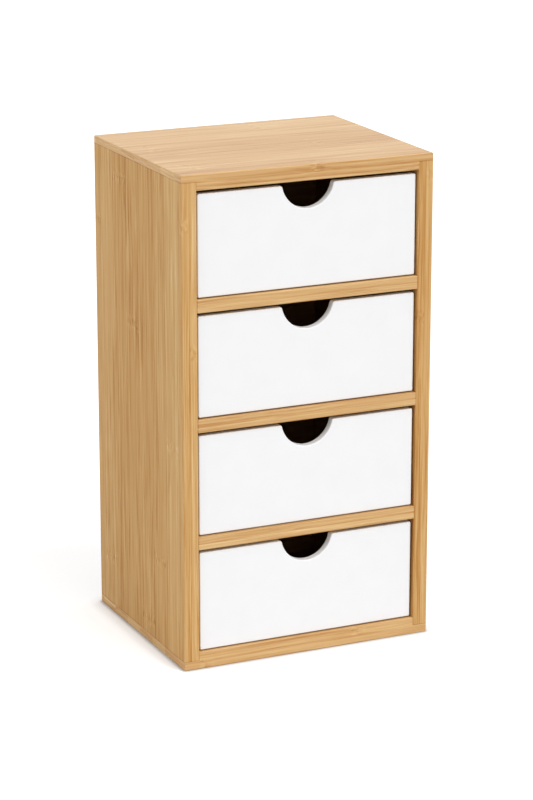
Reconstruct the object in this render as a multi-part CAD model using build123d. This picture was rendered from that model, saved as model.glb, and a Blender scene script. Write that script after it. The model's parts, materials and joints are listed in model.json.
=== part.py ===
"""Desktop chest of four small drawers: a glued bamboo case with three shelves and a thin back,
and four white-fronted drawers, each pulled by a round finger notch in its top edge.

Frame: origin under the middle of the case, on the surface it stands on. +Z is up and the
drawers open towards -Y. Millimetres.
"""
import os
from collections import namedtuple

from build123d import *

# ---------------------------------------------------------------- case
CASE_WIDTH = 178.0
CASE_DEPTH = 148.0
CASE_HEIGHT = 330.0
SIDE_THICKNESS = 10.5
TOP_THICKNESS = 10.5
BOTTOM_THICKNESS = 11.5
SHELF_THICKNESS = 8.7
DRAWER_COUNT = 4

# The top and bottom boards lap over the ends of the sides and are stepped to fit between them.
TOP_LIP = 4.8
BOTTOM_LIP = 5.9

OUTER_ROUND = 0.8       # outside edges of the case
INNER_ROUND = 0.4       # front edges round each drawer opening

# ---------------------------------------------------------------- case back
BACK_THICKNESS = 3.0
BACK_LAP = 4.5          # how far the back is let into each board
BACK_PLAY = 0.2         # room round the back in its rebate

# ---------------------------------------------------------------- shelf dowels
DOWEL_RADIUS = 2.5
DOWEL_IN_SHELF = 13.0
DOWEL_COVER = 4.0       # wood left between a dowel and the outside of the case
DOWEL_SETBACK = 30.0    # from the front and from the back face of the case

# ---------------------------------------------------------------- drawer fronts
FRONT_THICKNESS = 5.0
FRONT_RECESS = 2.0      # behind the front edges of the case
FRONT_SIDE_GAP = 1.4
FRONT_TOP_GAP = 2.6
FRONT_BOTTOM_GAP = 0.8
FRONT_EDGE_ROUND = 0.7
FRONT_CORNER_ROUND = 1.0
NOTCH_RADIUS = 18.4     # struck from the underside of the board above
NOTCH_LIP_ROUND = 1.6

# ---------------------------------------------------------------- drawer boxes
BOX_THICKNESS = 6.0     # sides and back of a drawer
BOX_SIDE_GAP = 1.6      # between a drawer's side and the case
BOX_RUN_GAP = 0.2       # under the sides, which slide on the shelf
BOX_TOP_DROP = 4.0      # sides and back end this far below the top of the front
BOX_REAR_GAP = 0.5      # to the case back when the drawer is shut
BOX_EDGE_ROUND = 0.6    # top edges of the sides and the back
BASE_THICKNESS = 3.0
BASE_RISE = 3.0         # underside of the base above the lower edge of the sides
GROOVE_DEPTH = 2.5
GROOVE_PLAY = 0.1       # room round the base in its groove

# ---------------------------------------------------------------- pegs and brads
PEG_RADIUS = 1.5        # thin dowels that hold a drawer's front to its sides
PEG_IN_SIDE = 10.0
PEG_COVER = 2.0         # wood left between a peg and the face of the front
PEG_MARGIN = 14.0       # from the top and the lower edge of a side
PIN_PLAY = 0.05         # glue room round a dowel or peg, on the radius
PIN_END_ROOM = 0.4      # past each end of a dowel or peg
PIN_CHAMFER = 0.4
BRAD_RADIUS = 0.6
BRAD_HEAD_RADIUS = 1.2
BRAD_HEAD_THICKNESS = 0.6
BRAD_PLAY = 0.05
BOX_BRAD_LENGTH = 14.0
BACK_BRAD_LENGTH = 12.0
BACK_BRADS_PER_SIDE = 5
BACK_BRADS_PER_END = 3

# ---------------------------------------------------------------- worked-out places
HALF_WIDTH = CASE_WIDTH / 2
HALF_DEPTH = CASE_DEPTH / 2
INNER_HALF = HALF_WIDTH - SIDE_THICKNESS
INNER_REAR = HALF_DEPTH - BACK_THICKNESS
CEILING = CASE_HEIGHT - TOP_THICKNESS
SHELF_COUNT = DRAWER_COUNT - 1
OPENING_HEIGHT = (CEILING - BOTTOM_THICKNESS - SHELF_COUNT * SHELF_THICKNESS) / DRAWER_COUNT
DOWEL_LENGTH = SIDE_THICKNESS - DOWEL_COVER + DOWEL_IN_SHELF

FRONT_WIDTH = 2 * (INNER_HALF - FRONT_SIDE_GAP)
FRONT_HEIGHT = OPENING_HEIGHT - FRONT_TOP_GAP - FRONT_BOTTOM_GAP
FRONT_REAR = -HALF_DEPTH + FRONT_RECESS + FRONT_THICKNESS
BOX_HALF = INNER_HALF - BOX_SIDE_GAP
BOX_INNER_HALF = BOX_HALF - BOX_THICKNESS
BOX_REAR = INNER_REAR - BOX_REAR_GAP
PEG_LENGTH = FRONT_THICKNESS - PEG_COVER + PEG_IN_SIDE

SAME_PLACE = 1e-3
LEFT, RIGHT = -1, 1


def block(x, y, z):
    """A box from (low, high) pairs."""
    size = [high - low for low, high in (x, y, z)]
    middle = [(high + low) / 2 for low, high in (x, y, z)]
    return Pos(*middle) * Box(*size)


def cut(board, tools):
    """The board with every tool cut out of it."""
    for tool in tools:
        board -= tool
    return board


def edges_at(shape, axis, **place):
    """The edges parallel to an axis whose middle lies at the given X, Y or Z."""
    def lies_there(edge):
        middle = edge.center()
        return all(abs(getattr(middle, name) - value) < SAME_PLACE for name, value in place.items())

    return [edge for edge in shape.edges().filter_by(axis) if lies_there(edge)]


# ---------------------------------------------------------------- pins
def rod(start, direction, length, radius):
    return extrude(Plane(origin=start, z_dir=direction) * Circle(radius), length)


def pin(start, direction, length, radius):
    """A wooden dowel or peg with chamfered ends."""
    body = rod(start, direction, length, radius)
    return chamfer(body.edges().filter_by(GeomType.CIRCLE), PIN_CHAMFER)


def pin_hole(start, direction, length, radius):
    """The two blind holes that a dowel or peg sits in, with room round it and past its ends."""
    along = Vector(*direction)
    first = Vector(*start) - along * PIN_END_ROOM
    return rod(tuple(first), direction, length + 2 * PIN_END_ROOM, radius + PIN_PLAY)


def brad(start, direction, length):
    """A small nail whose flat head lies level with the surface that it starts at."""
    head = rod(start, direction, BRAD_HEAD_THICKNESS, BRAD_HEAD_RADIUS)
    return head + rod(start, direction, length, BRAD_RADIUS)


def brad_hole(start, direction, length):
    """The sunk seat and the shank hole of a brad."""
    seat = rod(start, direction, BRAD_HEAD_THICKNESS + BRAD_PLAY, BRAD_HEAD_RADIUS + BRAD_PLAY)
    return seat + rod(start, direction, length + BRAD_PLAY, BRAD_RADIUS + BRAD_PLAY)


# ---------------------------------------------------------------- case back
def back_block(play):
    """The case back, or with play the rebate that it is let into."""
    reach = BACK_LAP + play
    return block(
        (-INNER_HALF - reach, INNER_HALF + reach),
        (INNER_REAR, HALF_DEPTH),
        (BOTTOM_THICKNESS - reach, CEILING + reach),
    )


def spread(low, high, count):
    """Places in the middle of each of count equal parts of a span."""
    return [low + (high - low) * (n + 0.5) / count for n in range(count)]


def back_brads(make):
    """A brad, or its hole, at each place in the middle of the lap round the case back."""
    across = INNER_HALF + BACK_LAP / 2
    low = BOTTOM_THICKNESS - BACK_LAP / 2
    high = CEILING + BACK_LAP / 2
    upright = [(x, z) for z in spread(low, high, BACK_BRADS_PER_SIDE) for x in (-across, across)]
    level = [(x, z) for x in spread(-across, across, BACK_BRADS_PER_END) for z in (low, high)]
    return [make((x, HALF_DEPTH, z), (0, -1, 0), BACK_BRAD_LENGTH) for x, z in upright + level]


def case_back():
    return cut(back_block(0), back_brads(brad_hole))


# ---------------------------------------------------------------- case boards
def end_board(lip, step, outside, inside):
    """The top or the bottom board: a lip over the ends of the sides and a step between them.

    lip and step are (low, high) pairs, and outside and inside the heights of its two faces.
    """
    depth = (-HALF_DEPTH, HALF_DEPTH)
    cover = block((-HALF_WIDTH, HALF_WIDTH), depth, lip)
    rim = [edge for edge in cover.edges() if abs(edge.center().Z - outside) < SAME_PLACE]
    cover = fillet(edges_at(cover, Axis.Z) + rim, OUTER_ROUND)
    tongue = block((-INNER_HALF, INNER_HALF), depth, step)
    tongue = fillet(edges_at(tongue, Axis.X, Y=-HALF_DEPTH, Z=inside), INNER_ROUND)
    return cut(cover + tongue, [back_block(BACK_PLAY)] + back_brads(brad_hole))


def top_board():
    seam = CASE_HEIGHT - TOP_LIP
    return end_board((seam, CASE_HEIGHT), (CEILING, seam), CASE_HEIGHT, CEILING)


def bottom_board():
    return end_board((0, BOTTOM_LIP), (BOTTOM_LIP, BOTTOM_THICKNESS), 0, BOTTOM_THICKNESS)


def shelf_level(index):
    """Height of a shelf's underside; shelf 0 is the highest."""
    return CEILING - (index + 1) * (OPENING_HEIGHT + SHELF_THICKNESS)


def shelf_pins(make, index, side):
    """The dowels, or their holes, at one end of a shelf."""
    start = side * (HALF_WIDTH - DOWEL_COVER)
    middle = shelf_level(index) + SHELF_THICKNESS / 2
    rows = (-HALF_DEPTH + DOWEL_SETBACK, HALF_DEPTH - DOWEL_SETBACK)
    return [make((start, y, middle), (-side, 0, 0), DOWEL_LENGTH, DOWEL_RADIUS) for y in rows]


def side_board(side):
    x = sorted((side * INNER_HALF, side * HALF_WIDTH))
    board = block(x, (-HALF_DEPTH, HALF_DEPTH), (BOTTOM_LIP, CASE_HEIGHT - TOP_LIP))
    board = fillet(edges_at(board, Axis.Z, X=side * HALF_WIDTH), OUTER_ROUND)
    board = fillet(edges_at(board, Axis.Z, X=side * INNER_HALF, Y=-HALF_DEPTH), INNER_ROUND)
    holes = [hole for index in range(SHELF_COUNT) for hole in shelf_pins(pin_hole, index, side)]
    return cut(board, [back_block(BACK_PLAY)] + back_brads(brad_hole) + holes)


def shelf(index):
    """One shelf, glued and dowelled between the sides."""
    low = shelf_level(index)
    span = (low, low + SHELF_THICKNESS)
    board = block((-INNER_HALF, INNER_HALF), (-HALF_DEPTH, INNER_REAR), span)
    board = fillet(edges_at(board, Axis.X, Y=-HALF_DEPTH), INNER_ROUND)
    return cut(board, shelf_pins(pin_hole, index, LEFT) + shelf_pins(pin_hole, index, RIGHT))


# ---------------------------------------------------------------- drawers
DrawerHeights = namedtuple("DrawerHeights", "box_low base_low box_high front_low front_high")


def drawer_heights(index):
    """Heights of the edges of one drawer; drawer 0 is the top one."""
    floor = CEILING - OPENING_HEIGHT - index * (OPENING_HEIGHT + SHELF_THICKNESS)
    box_low = floor + BOX_RUN_GAP
    front_low = floor + FRONT_BOTTOM_GAP
    front_high = front_low + FRONT_HEIGHT
    return DrawerHeights(box_low, box_low + BASE_RISE, front_high - BOX_TOP_DROP, front_low, front_high)


def peg_heights(index):
    """Heights of the pegs and brads in a drawer's sides."""
    heights = drawer_heights(index)
    return (heights.box_low + PEG_MARGIN, heights.box_high - PEG_MARGIN)


def drawer_pegs(make, index):
    """The pegs between a drawer's front and its sides, or their holes."""
    across = BOX_HALF - BOX_THICKNESS / 2
    start = FRONT_REAR - FRONT_THICKNESS + PEG_COVER
    places = [(x, start, z) for x in (-across, across) for z in peg_heights(index)]
    return [make(place, (0, 1, 0), PEG_LENGTH, PEG_RADIUS) for place in places]


def box_brads(make, index):
    """The brads through a drawer's sides into its back, or their holes."""
    y = BOX_REAR - BOX_THICKNESS / 2
    return [
        make((side * BOX_HALF, y, z), (-side, 0, 0), BOX_BRAD_LENGTH)
        for side in (LEFT, RIGHT)
        for z in peg_heights(index)
    ]


def base_block(index, play):
    """A drawer's base, or with play the groove that it sits in."""
    low = drawer_heights(index).base_low
    half = BOX_INNER_HALF + GROOVE_DEPTH - GROOVE_PLAY + play
    return block(
        (-half, half),
        (FRONT_REAR - GROOVE_DEPTH + GROOVE_PLAY - play, BOX_REAR),
        (low - play, low + BASE_THICKNESS + play),
    )


def drawer_front(index):
    """The front board with its finger notch, its edges and corners eased."""
    heights = drawer_heights(index)
    outline = fillet(Rectangle(FRONT_WIDTH, FRONT_HEIGHT).vertices(), FRONT_CORNER_ROUND)
    outline -= Pos(0, FRONT_HEIGHT / 2 + FRONT_TOP_GAP) * Circle(NOTCH_RADIUS)
    lips = [corner for corner in outline.vertices() if abs(corner.X) < NOTCH_RADIUS]
    outline = fillet(lips, NOTCH_LIP_ROUND)
    middle = (heights.front_low + heights.front_high) / 2
    rear = Plane(origin=(0, FRONT_REAR, middle), x_dir=(1, 0, 0), z_dir=(0, -1, 0))
    board = extrude(rear * outline, FRONT_THICKNESS)
    face = board.faces().sort_by(Axis.Y)[0]
    board = fillet(face.edges(), FRONT_EDGE_ROUND)
    return cut(board, [base_block(index, GROOVE_PLAY)] + drawer_pegs(pin_hole, index))


def drawer_side(index, side):
    heights = drawer_heights(index)
    x = sorted((side * BOX_INNER_HALF, side * BOX_HALF))
    board = block(x, (FRONT_REAR, BOX_REAR), (heights.box_low, heights.box_high))
    board = fillet(edges_at(board, Axis.Y, Z=heights.box_high), BOX_EDGE_ROUND)
    holes = drawer_pegs(pin_hole, index) + box_brads(brad_hole, index)
    return cut(board, [base_block(index, GROOVE_PLAY)] + holes)


def drawer_back(index):
    """The back of a drawer, between the sides and standing on the base."""
    heights = drawer_heights(index)
    span = (heights.base_low + BASE_THICKNESS, heights.box_high)
    board = block((-BOX_INNER_HALF, BOX_INNER_HALF), (BOX_REAR - BOX_THICKNESS, BOX_REAR), span)
    board = fillet(edges_at(board, Axis.X, Z=heights.box_high), BOX_EDGE_ROUND)
    return cut(board, box_brads(brad_hole, index))


# ---------------------------------------------------------------- nodes
def case_nodes():
    """Every node of the case, as a list of solids by name."""
    nodes = {
        "case_top": [top_board()],
        "case_bottom": [bottom_board()],
        "case_left_side": [side_board(LEFT)],
        "case_right_side": [side_board(RIGHT)],
        "case_back": [case_back()],
        "case_back_brads": back_brads(brad),
    }
    for index in range(SHELF_COUNT):
        nodes[f"shelf_{index + 1}"] = [shelf(index)]
        nodes[f"shelf_{index + 1}_dowels"] = shelf_pins(pin, index, LEFT) + shelf_pins(pin, index, RIGHT)
    return nodes


def drawer_nodes(index):
    """Every node of one drawer, as a list of solids by name."""
    name = f"drawer_{index + 1}"
    return {
        f"{name}_front": [drawer_front(index)],
        f"{name}_left_side": [drawer_side(index, LEFT)],
        f"{name}_right_side": [drawer_side(index, RIGHT)],
        f"{name}_back": [drawer_back(index)],
        f"{name}_base": [base_block(index, 0)],
        f"{name}_pegs": drawer_pegs(pin, index),
        f"{name}_brads": box_brads(brad, index),
    }


def main():
    os.makedirs("parts", exist_ok=True)
    nodes = case_nodes()
    for index in range(DRAWER_COUNT):
        nodes.update(drawer_nodes(index))
    for name, pieces in nodes.items():
        solids = [solid for piece in pieces for solid in piece.solids()]
        shape = solids[0] if len(solids) == 1 else Compound(children=solids)
        export_step(shape, f"parts/{name}.step")


main()
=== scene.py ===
"""Looks of the desktop chest of drawers: glued bamboo, white painted fronts, soft white studio.

Everything is in metres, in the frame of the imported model: +Z up, drawers opening towards -Y.
"""
import json
import math
from typing import NamedTuple

import bpy
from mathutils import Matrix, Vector


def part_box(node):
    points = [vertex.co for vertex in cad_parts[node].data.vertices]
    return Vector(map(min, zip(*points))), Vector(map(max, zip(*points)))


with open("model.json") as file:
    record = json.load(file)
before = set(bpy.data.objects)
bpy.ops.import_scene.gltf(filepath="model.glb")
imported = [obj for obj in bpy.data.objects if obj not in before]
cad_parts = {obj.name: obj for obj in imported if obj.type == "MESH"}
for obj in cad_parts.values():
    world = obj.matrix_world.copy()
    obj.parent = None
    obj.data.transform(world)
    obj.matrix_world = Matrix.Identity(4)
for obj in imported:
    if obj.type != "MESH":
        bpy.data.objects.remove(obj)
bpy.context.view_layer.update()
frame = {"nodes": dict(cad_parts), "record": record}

MM = 0.001

# ---------------------------------------------------------------- camera
CAMERA_AT = (-0.7801, -1.7028, 0.6960)
CAMERA_AZIMUTH = -24.72
CAMERA_ELEVATION = 16.12
FOCAL_PIXELS = 2893.0
LONG_SIDE_PIXELS = 800.0
SENSOR = 36.0           # millimetres, as Blender's lens lengths are
CLIP_NEAR, CLIP_FAR = 0.05, 50.0

# ---------------------------------------------------------------- studio
FLOOR_HALF = 4.0
FLOOR_DROP = 0.1 * MM
FLOOR_GREY = 212        # screen value of the floor's own colour
FLOOR_ROUGHNESS = 0.9
FLOOR_GLOW = 0.55       # seen directly only, so that the lit floor is white
AMBIENT = 0.55          # light of the white room all round
# Each is (reach, power) of a painted shadow, a dimming of the floor's glow round the object: how far from
# the object the glow fades, and how steeply.
PAINTED_CONTACT_SHADOW = (12.0 * MM, 1.3)
PAINTED_CONTACT_LINE = (2.5 * MM, 5.0)
PAINTED_SHADOW_SAMPLES = 8
# name: (azimuth, elevation, spread in degrees, level); level is the brightness that the lamp
# alone gives a white surface facing it
LAMPS = {
    "front_box": (28.0, 46.0, 40.0, 0.56),
    "top_box": (-10.0, 80.0, 60.0, 0.10),
    "left_box": (-78.0, 25.0, 60.0, 0.22),
}

# ---------------------------------------------------------------- bamboo
STRIP = 22.0 * MM       # width of one glued strip
SEED_STEP_U = 0.37      # moves the pattern along the grain from board to board
SEED_STEP_V = 0.0137    # and across the strips
CANE_SPREAD = 3.0       # strips are cut from up to this far apart along the cane
FIBRE_SWAY = 4.0 * MM   # how far the fibres bend off the straight
SWAY_SCALES = (9.0, 25.0, 25.0)
END_STRETCH = -0.96     # on a sawn end the pattern is drawn out across the strips
FACING = (0.6, 0.8)     # of a face's direction, where it starts to count as facing an axis

# Noise scales per metre, along the grain, across the strips and through the board, and detail.
FIBRES = {
    "patch": (11.0, 85.0, 120.0, 2.0),
    "fine": (22.0, 1900.0, 1900.0, 3.0),
    "middle": (9.0, 560.0, 640.0, 3.0),
    "dark": (13.0, 640.0, 640.0, 2.0),
    "broad": (3.5, 130.0, 330.0, 2.0),
}
MOTTLE = (210.0, 620.0, 620.0, 2.0)
FIBRE_ROUGHNESS = 0.6
PATCH_STRENGTH = 3.0
DARK_EDGES = (0.08, 0.24)

RING_PITCH = 0.33       # between the rings of the cane along one strip
RING_SPREAD = 5.0       # how many pitches the rings of different strips lie apart at most
RING_SLANT = 9.0 * MM
RING_WANDER = 2.5 * MM
WANDER_SCALES = (110.0, 7.3)
RING_EDGES = (0.0, 0.9 * MM)
HALO_EDGES = (1.5 * MM, 7.5 * MM)
SEAM_EDGES = (0.488, 0.5)
GLUE_EDGES = (0.1 * MM, 0.45 * MM)
JOINT_EDGES = (0.1 * MM, 0.6 * MM)

# How much each feature of the bamboo lightens it, roughens it and raises it.
MEAN_SHADE = 0.53
SHADES = {
    "fine": 0.72,
    "middle": 0.92,
    "dark": -0.13,
    "broad": 0.44,
    "tone": 0.17,
    "mottled": 0.95,
    "ring": -0.05,
    "seam": -0.09,
    "glue": -0.12,
    "joint": -0.30,
}
DULLNESS = {"middle": -0.16, "rim": 0.15}
RELIEFS = {"fine": 0.6, "middle": 0.3, "seam": -0.5, "ring": -0.4}
RELIEF_HEIGHT = 0.10 * MM
CANE_COLOURS = (
    (0.0, (148, 92, 42)),
    (0.3, (188, 136, 76)),
    (0.5, (204, 160, 103)),
    (0.72, (217, 179, 123)),
    (1.0, (234, 206, 158)),
)
BOARD_GLOSS = 0.5
SIDE_GLOSS = 0.03       # the sides hardly mirror the room
BOARD_ROUGHNESS = 0.42
TOP_ROUGHNESS = 0.35

ACROSS = "Y"            # the strips of every board lie side by side along this axis
# Each bamboo board's grain and seed, and what is special about it.
BOARDS = {
    "case_top": {"grain": "X", "seed": 3, "ends_meet": False, "roughness": TOP_ROUGHNESS},
    "case_bottom": {"grain": "X", "seed": 11, "ends_meet": False},
    "case_left_side": {"grain": "Z", "seed": 5, "gloss": SIDE_GLOSS},
    "case_right_side": {"grain": "Z", "seed": 8, "gloss": SIDE_GLOSS},
    "shelf_1": {"grain": "X", "seed": 21},
    "shelf_2": {"grain": "X", "seed": 22},
    "shelf_3": {"grain": "X", "seed": 23},
}


# ---------------------------------------------------------------- other materials
class Noise(NamedTuple):
    """A noise of a plain material: its scales per metre, and how much it changes the surface."""
    along: float
    across: float
    detail: float = 2.0
    roughness: float = 0.5
    distortion: float = 0.0
    shade: float = 0.0
    dullness: float = 0.0
    relief: float = 0.0


class Finish(NamedTuple):
    """A plain material. Its relief_height is in metres, and 0 leaves it smooth."""
    noises: tuple
    colours: tuple
    roughness: float
    metallic: float = 0.0
    relief_height: float = 0.0
    relief_strength: float = 1.0


RAMP_MIDDLE = 0.5       # where a colour ramp is read when all noises are 0
# Smooth sprayed paint, with the faint unevenness of a board under it.
PAINT = Finish(
    noises=(
        Noise(60, 60, detail=3.0, shade=0.8, dullness=0.10),
        Noise(900, 900, relief=1.0),
    ),
    colours=((0.0, (236, 236, 237)), (1.0, (242, 242, 243))),
    roughness=0.42,
    relief_height=0.05 * MM,
    relief_strength=0.5,
)
# Light sawn wood, with long streaks along its grain.
WOOD = Finish(
    noises=(
        Noise(9, 420, detail=4.0, roughness=0.6, shade=0.7, dullness=0.15, relief=0.5),
        Noise(4, 70, detail=3.0, distortion=0.4, shade=0.8),
        Noise(60, 2600, shade=0.3, relief=0.5),
    ),
    colours=((0.15, (176, 132, 86)), (0.85, (214, 178, 132))),
    roughness=0.62,
    relief_height=0.10 * MM,
)
# Pressed brown fibre board: short fibres lying every way, smooth face.
HARDBOARD = Finish(
    noises=(
        Noise(900, 900, detail=3.0, roughness=0.65, distortion=0.8, shade=0.9, dullness=0.2, relief=1.0),
        Noise(45, 45, shade=0.5),
    ),
    colours=((0.1, (104, 68, 40)), (0.9, (160, 116, 76))),
    roughness=0.55,
    relief_height=0.06 * MM,
)
# Bright drawn wire with fine scratches.
STEEL = Finish(
    noises=(Noise(2500, 2500, shade=1.0, dullness=0.2),),
    colours=((0.0, (150, 150, 150)), (1.0, (196, 196, 194))),
    roughness=0.38,
    metallic=1.0,
)


def srgb(red, green, blue):
    """A colour given as 0-255 screen values, as the linear colour that shaders use."""
    def linear(value):
        part = value / 255
        return part / 12.92 if part <= 0.04045 else ((part + 0.055) / 1.055) ** 2.4

    return (linear(red), linear(green), linear(blue), 1.0)


class Shader:
    """Builds one material's node tree."""

    def __init__(self, name):
        self.material = bpy.data.materials.new(name)
        self.material.use_nodes = True
        self.tree = self.material.node_tree
        self.surface = self.tree.nodes["Principled BSDF"]

    def node(self, kind, **settings):
        made = self.tree.nodes.new(kind)
        for key, value in settings.items():
            setattr(made, key, value)
        return made

    def feed(self, socket, value):
        """Links a socket, or sets a plain value, into an input."""
        if isinstance(value, bpy.types.NodeSocket):
            self.tree.links.new(value, socket)
        else:
            socket.default_value = value

    def math(self, operation, *values):
        made = self.node("ShaderNodeMath", operation=operation)
        for socket, value in zip(made.inputs, values):
            self.feed(socket, value)
        return made.outputs[0]

    def add(self, a, b):
        return self.math("ADD", a, b)

    def less(self, a, b):
        return self.math("SUBTRACT", a, b)

    def times(self, a, b):
        return self.math("MULTIPLY", a, b)

    def magnitude(self, value):
        return self.math("ABSOLUTE", value)

    def total(self, start, terms):
        """start plus the sum of (value, weight) pairs."""
        result = start
        for value, weight in terms:
            result = self.add(result, self.times(value, weight))
        return result

    def vector(self, x, y, z):
        made = self.node("ShaderNodeCombineXYZ")
        for socket, value in zip(made.inputs, (x, y, z)):
            self.feed(socket, value)
        return made.outputs[0]

    def scaled(self, values, scales):
        """A vector of three values, each times its scale."""
        return self.vector(*(self.times(value, scale) for value, scale in zip(values, scales)))

    def place_and_normal(self):
        """The X, Y and Z of the point on the piece, in metres, and of the way it faces."""
        coordinates = self.node("ShaderNodeTexCoord")
        both = []
        for output in ("Object", "Normal"):
            split = self.node("ShaderNodeSeparateXYZ")
            self.feed(split.inputs[0], coordinates.outputs[output])
            both.append(dict(zip("XYZ", split.outputs)))
        return both

    def place(self):
        """The X, Y and Z of the point on the piece, in metres, as a list."""
        return list(self.place_and_normal()[0].values())

    def noise(self, vector, detail=2.0, roughness=0.5, distortion=0.0):
        """Noise centred on 0, roughly -0.5 to 0.5."""
        made = self.node("ShaderNodeTexNoise")
        self.feed(made.inputs["Vector"], vector)
        made.inputs["Scale"].default_value = 1.0
        made.inputs["Detail"].default_value = detail
        made.inputs["Roughness"].default_value = roughness
        made.inputs["Distortion"].default_value = distortion
        return self.less(made.outputs["Fac"], 0.5)

    def randoms(self, a, b, c):
        """Three random values from 0 to 1 that are the same wherever a, b and c are."""
        made = self.node("ShaderNodeTexWhiteNoise", noise_dimensions="3D")
        self.feed(made.inputs["Vector"], self.vector(a, b, c))
        split = self.node("ShaderNodeSeparateColor")
        self.feed(split.inputs[0], made.outputs["Color"])
        return split.outputs

    def step(self, value, low, high, at_low=0.0, at_high=1.0):
        """A smooth change from at_low to at_high while value goes from low to high."""
        made = self.node("ShaderNodeMapRange", interpolation_type="SMOOTHSTEP")
        for name, number in (("From Min", low), ("From Max", high), ("To Min", at_low), ("To Max", at_high)):
            made.inputs[name].default_value = number
        self.feed(made.inputs["Value"], value)
        return made.outputs["Result"]

    def near_zero(self, value, low, high):
        """1 where value is within low of 0, fading to 0 where it is past high."""
        return self.step(value, low, high, 1.0, 0.0)

    def ramp(self, value, stops):
        """A colour from (place, (red, green, blue)) stops, in screen values."""
        made = self.node("ShaderNodeValToRGB")
        elements = made.color_ramp.elements
        while len(elements) < len(stops):
            elements.new(0.5)
        for element, (place, colour) in zip(elements, stops):
            element.position = place
            element.color = srgb(*colour)
        self.feed(made.inputs["Fac"], value)
        return made.outputs["Color"]

    def bump(self, height, distance, strength=1.0):
        made = self.node("ShaderNodeBump")
        made.inputs["Strength"].default_value = strength
        made.inputs["Distance"].default_value = distance
        self.feed(made.inputs["Height"], height)
        self.feed(self.surface.inputs["Normal"], made.outputs["Normal"])

    def set(self, inputs):
        """Sets inputs of the surface shader by name."""
        for name, value in inputs.items():
            self.feed(self.surface.inputs[name], value)


# ---------------------------------------------------------------- bamboo
class Board:
    """Where a point lies in a board of cane strips, which are glued side by side in two layers.

    u runs along the grain, v across the strips and w through the board, from its middle.
    """

    def __init__(self, shader, node, grain, seed):
        through = (set("XYZ") - {grain, ACROSS}).pop()
        place, normal = shader.place_and_normal()
        low, high = (dict(zip("XYZ", corner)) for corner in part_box(node))
        self.shader = shader
        self.on_grain = place[grain]
        self.ends = (low[grain], high[grain])
        self.on_end = shader.step(shader.magnitude(normal[grain]), *FACING)
        self.on_rim = shader.near_zero(shader.magnitude(normal[through]), *FACING)

        self.u = shader.add(place[grain], SEED_STEP_U * seed)
        self.v = shader.add(place[ACROSS], SEED_STEP_V * seed)
        self.w = shader.less(place[through], (low[through] + high[through]) / 2)

        strip_at = shader.times(self.v, 1 / STRIP)
        self.strip = shader.math("FLOOR", strip_at)
        self.in_strip = shader.less(strip_at, shader.add(self.strip, 0.5))
        layer = shader.math("GREATER_THAN", self.w, 0.0)
        self.tone, shift, self.slope = shader.randoms(self.strip, layer, seed)
        # Every strip is its own piece of cane, so its fibres start somewhere else.
        self.along = shader.add(self.u, shader.times(shift, CANE_SPREAD))


def fibre_features(board):
    """The fine, middle, dark and broad fibres of a board, which bend a little.

    A sawn end shows the layers of the cane as lines in the plane of the board.
    """
    shader = board.shader
    sway_at = shader.scaled((board.along, board.v, board.w), SWAY_SCALES)
    sway = shader.times(shader.noise(sway_at), FIBRE_SWAY)
    drawn_out = shader.times(board.v, shader.add(1.0, shader.times(board.on_end, END_STRETCH)))
    spot = (board.along, shader.add(drawn_out, sway), shader.add(board.w, sway))
    fibres = {
        name: shader.noise(shader.scaled(spot, scales), detail, FIBRE_ROUGHNESS)
        for name, (*scales, detail) in FIBRES.items()
    }
    # The fibres show strongly in some patches and hardly in others.
    patch = shader.add(1.0, shader.times(fibres["patch"], PATCH_STRENGTH))
    return {
        "fine": shader.times(fibres["fine"], patch),
        "middle": shader.times(fibres["middle"], patch),
        "dark": shader.times(shader.step(fibres["dark"], *DARK_EDGES), patch),
        "broad": fibres["broad"],
    }


def ring_features(board):
    """The rings of the cane: a slanting line, with mottled fibres on both sides of it."""
    shader = board.shader
    ring_at = shader.add(shader.times(board.u, 1 / RING_PITCH), shader.times(board.slope, RING_SPREAD))
    straight = shader.times(shader.less(shader.math("FRACT", ring_at), 0.5), RING_PITCH)
    slant = shader.times(shader.less(board.slope, 0.5), board.in_strip)
    by_place, by_strip = WANDER_SCALES
    wander_at = shader.vector(0.0, shader.times(board.v, by_place), shader.times(board.strip, by_strip))
    wander = shader.noise(wander_at)
    distance = shader.magnitude(shader.total(straight, [(slant, RING_SLANT), (wander, RING_WANDER)]))

    *scales, detail = MOTTLE
    mottle = shader.noise(shader.scaled((board.along, board.v, board.w), scales), detail)
    return {
        "ring": shader.near_zero(distance, *RING_EDGES),
        "mottled": shader.times(shader.near_zero(distance, *HALO_EDGES), mottle),
    }


def seam_features(board):
    """The seams between the strips, and the glue line between the two layers."""
    shader = board.shader
    return {
        "seam": shader.step(shader.magnitude(board.in_strip), *SEAM_EDGES),
        "glue": shader.near_zero(shader.magnitude(board.w), *GLUE_EDGES),
    }


def end_joint(board):
    """The fine dark joint where the board's ends butt against other boards."""
    shader = board.shader
    low, high = board.ends
    nearest = shader.math(
        "MINIMUM", shader.less(board.on_grain, low), shader.less(high, board.on_grain))
    return shader.near_zero(nearest, *JOINT_EDGES)


def weighed(features, weights):
    """A (value, weight) pair of each feature that the weights name."""
    return [(features[name], weight) for name, weight in weights.items() if name in features]


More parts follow.
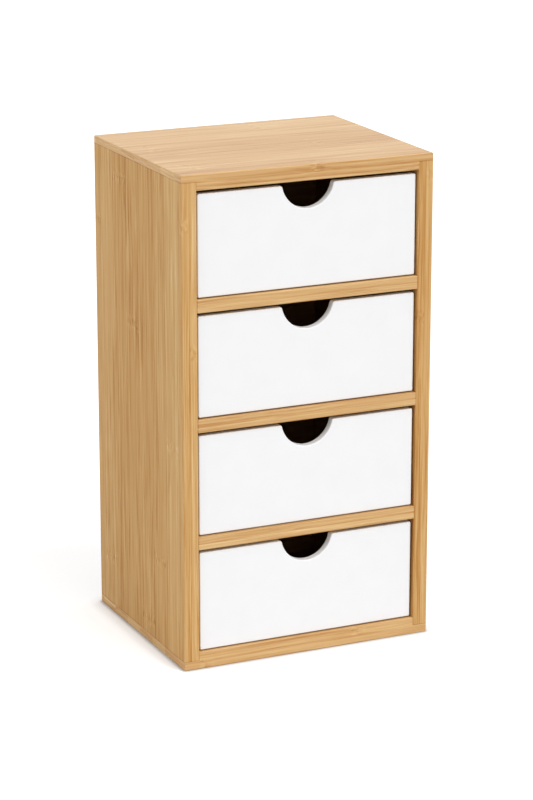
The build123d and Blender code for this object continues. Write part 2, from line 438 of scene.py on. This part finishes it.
def bamboo(node, grain, seed, ends_meet=True, gloss=BOARD_GLOSS, roughness=BOARD_ROUGHNESS):
    """Clear varnished strips of cane that run along grain. ends_meet gives it joints at its ends."""
    shader = Shader(f"bamboo_{node}")
    board = Board(shader, node, grain, seed)
    features = {
        "tone": shader.less(board.tone, 0.5),
        "rim": board.on_rim,
        **fibre_features(board),
        **ring_features(board),
        **seam_features(board),
    }
    if ends_meet:
        features["joint"] = end_joint(board)
    shade = shader.total(MEAN_SHADE, weighed(features, SHADES))
    shader.set({
        "Base Color": shader.ramp(shade, CANE_COLOURS),
        "Roughness": shader.total(roughness, weighed(features, DULLNESS)),
        "Specular IOR Level": gloss,
    })
    shader.bump(shader.total(0.0, weighed(features, RELIEFS)), RELIEF_HEIGHT)
    return shader.material


# ---------------------------------------------------------------- paint, wood, hardboard, steel
def plain_material(name, finish, grain="X"):
    """A material that follows its finish, with its noises drawn out along grain."""
    shader = Shader(name)
    place = shader.place()
    noises = []
    for noise in finish.noises:
        scales = [noise.along if axis == grain else noise.across for axis in "XYZ"]
        noises.append(shader.noise(
            shader.scaled(place, scales), noise.detail, noise.roughness, noise.distortion))

    shades = [noise.shade for noise in finish.noises]
    dullness = [noise.dullness for noise in finish.noises]
    reliefs = [noise.relief for noise in finish.noises]
    shade = shader.total(RAMP_MIDDLE, zip(noises, shades))
    shader.set({
        "Base Color": shader.ramp(shade, finish.colours),
        "Metallic": finish.metallic,
        "Roughness": shader.total(finish.roughness, zip(noises, dullness)),
    })
    if finish.relief_height:
        shader.bump(
            shader.total(0.0, zip(noises, reliefs)), finish.relief_height, finish.relief_strength)
    return shader.material


# ---------------------------------------------------------------- dressing
def dress(node, material):
    """Gives a CAD node one material."""
    slots = frame["nodes"][node].data.materials
    slots.clear()
    slots.append(material)


def dress_case():
    """Gives every bamboo board its own piece of bamboo."""
    for node, look in BOARDS.items():
        dress(node, bamboo(node, **look))


def dress_by_slot():
    """Everything that isn't bamboo takes the material of its slot in the record."""
    materials = {
        "white_front": plain_material("white_front", PAINT),
        "thin_board": plain_material("thin_board", HARDBOARD),
        "dowel_wood": plain_material("dowel_wood", WOOD),
        "brad_steel": plain_material("brad_steel", STEEL),
    }
    box_along = plain_material("drawer_wood_along", WOOD, "Y")
    box_across = plain_material("drawer_wood_across", WOOD)
    for part in frame["record"]["subparts"]:
        node, slot = part["node"], part["material_slot"]
        if slot == "drawer_wood":
            dress(node, box_across if node.endswith("_back") else box_along)
        elif slot in materials:
            dress(node, materials[slot])


# ---------------------------------------------------------------- studio
def direction(azimuth, elevation):
    """From the object towards a place round it. Azimuth 0 is in front, 90 on its right."""
    a, e = math.radians(azimuth), math.radians(elevation)
    return Vector((math.sin(a) * math.cos(e), -math.cos(a) * math.cos(e), math.sin(e)))


def turned_from(azimuth, elevation):
    """The rotation of a lamp or camera that looks at the object from there."""
    return direction(azimuth, elevation).to_track_quat("Z", "Y").to_euler()


def seen_directly(tree):
    """1 for a camera, mirror or glass ray, and 0 for light that falls on something."""
    path = tree.nodes.new("ShaderNodeLightPath")
    result = path.outputs["Is Camera Ray"]
    for name in ("Is Glossy Ray", "Is Transmission Ray"):
        either = tree.nodes.new("ShaderNodeMath")
        either.operation = "MAXIMUM"
        tree.links.new(result, either.inputs[0])
        tree.links.new(path.outputs[name], either.inputs[1])
        result = either.outputs[0]
    return result


def painted_shadow_factor(shader, reach, power):
    """1 on the open floor, and less within reach of the object: a painted shadow that dims the floor's glow
    there.
    """
    nearby = shader.node("ShaderNodeAmbientOcclusion", samples=PAINTED_SHADOW_SAMPLES)
    nearby.inputs["Distance"].default_value = reach
    return shader.math("POWER", nearby.outputs["AO"], power)


def floor_material():
    """Pale grey that glows up to white, apart from close round the object, where a painted shadow dims the
    glow and the real shadow shows.
    """
    shader = Shader("floor")
    # The glow dims near the object: a painted contact shadow, and a painted dark line where the object meets
    # the floor.
    painted_shadow_glow_factor = shader.times(painted_shadow_factor(shader, *PAINTED_CONTACT_SHADOW), painted_shadow_factor(shader, *PAINTED_CONTACT_LINE))
    glow = shader.times(seen_directly(shader.tree), FLOOR_GLOW)
    shader.set({
        "Base Color": srgb(FLOOR_GREY, FLOOR_GREY, FLOOR_GREY),
        "Roughness": FLOOR_ROUGHNESS,
        "Specular IOR Level": 0.0,
        "Emission Color": (1.0, 1.0, 1.0, 1.0),
        "Emission Strength": shader.times(glow, painted_shadow_glow_factor),
    })
    return shader.material


def make_floor():
    mesh = bpy.data.meshes.new("floor")
    half, z = FLOOR_HALF, -FLOOR_DROP
    corners = [(-half, -half, z), (half, -half, z), (half, half, z), (-half, half, z)]
    mesh.from_pydata(corners, [], [(0, 1, 2, 3)])
    mesh.materials.append(floor_material())
    floor = bpy.data.objects.new("floor", mesh)
    bpy.context.scene.collection.objects.link(floor)


def make_room():
    """A white room that is seen at full white, and lights the object at the ambient level."""
    world = bpy.data.worlds.new("room")
    world.use_nodes = True
    tree = world.node_tree
    background = tree.nodes["Background"]
    background.inputs["Color"].default_value = (1.0, 1.0, 1.0, 1.0)
    strength = tree.nodes.new("ShaderNodeMapRange")
    strength.inputs["To Min"].default_value = AMBIENT
    strength.inputs["To Max"].default_value = 1.0
    tree.links.new(seen_directly(tree), strength.inputs["Value"])
    tree.links.new(strength.outputs["Result"], background.inputs["Strength"])
    bpy.context.scene.world = world


def make_lamps():
    """Broad far lamps, as bright at the back of the floor as at the front."""
    for name, (azimuth, elevation, spread, level) in LAMPS.items():
        data = bpy.data.lights.new(name, "SUN")
        data.angle = math.radians(spread)
        data.energy = level * math.pi
        lamp = bpy.data.objects.new(name, data)
        lamp.rotation_euler = turned_from(azimuth, elevation)
        bpy.context.scene.collection.objects.link(lamp)


def make_camera():
    data = bpy.data.cameras.new("camera")
    data.sensor_width = SENSOR
    data.lens = FOCAL_PIXELS / LONG_SIDE_PIXELS * SENSOR
    data.clip_start, data.clip_end = CLIP_NEAR, CLIP_FAR
    camera = bpy.data.objects.new("camera", data)
    camera.location = CAMERA_AT
    camera.rotation_euler = turned_from(CAMERA_AZIMUTH, CAMERA_ELEVATION)
    bpy.context.scene.collection.objects.link(camera)
    bpy.context.scene.camera = camera


make_camera()
make_room()
make_lamps()
make_floor()
dress_case()
dress_by_slot()
bpy.context.scene.view_settings.view_transform = "Standard"
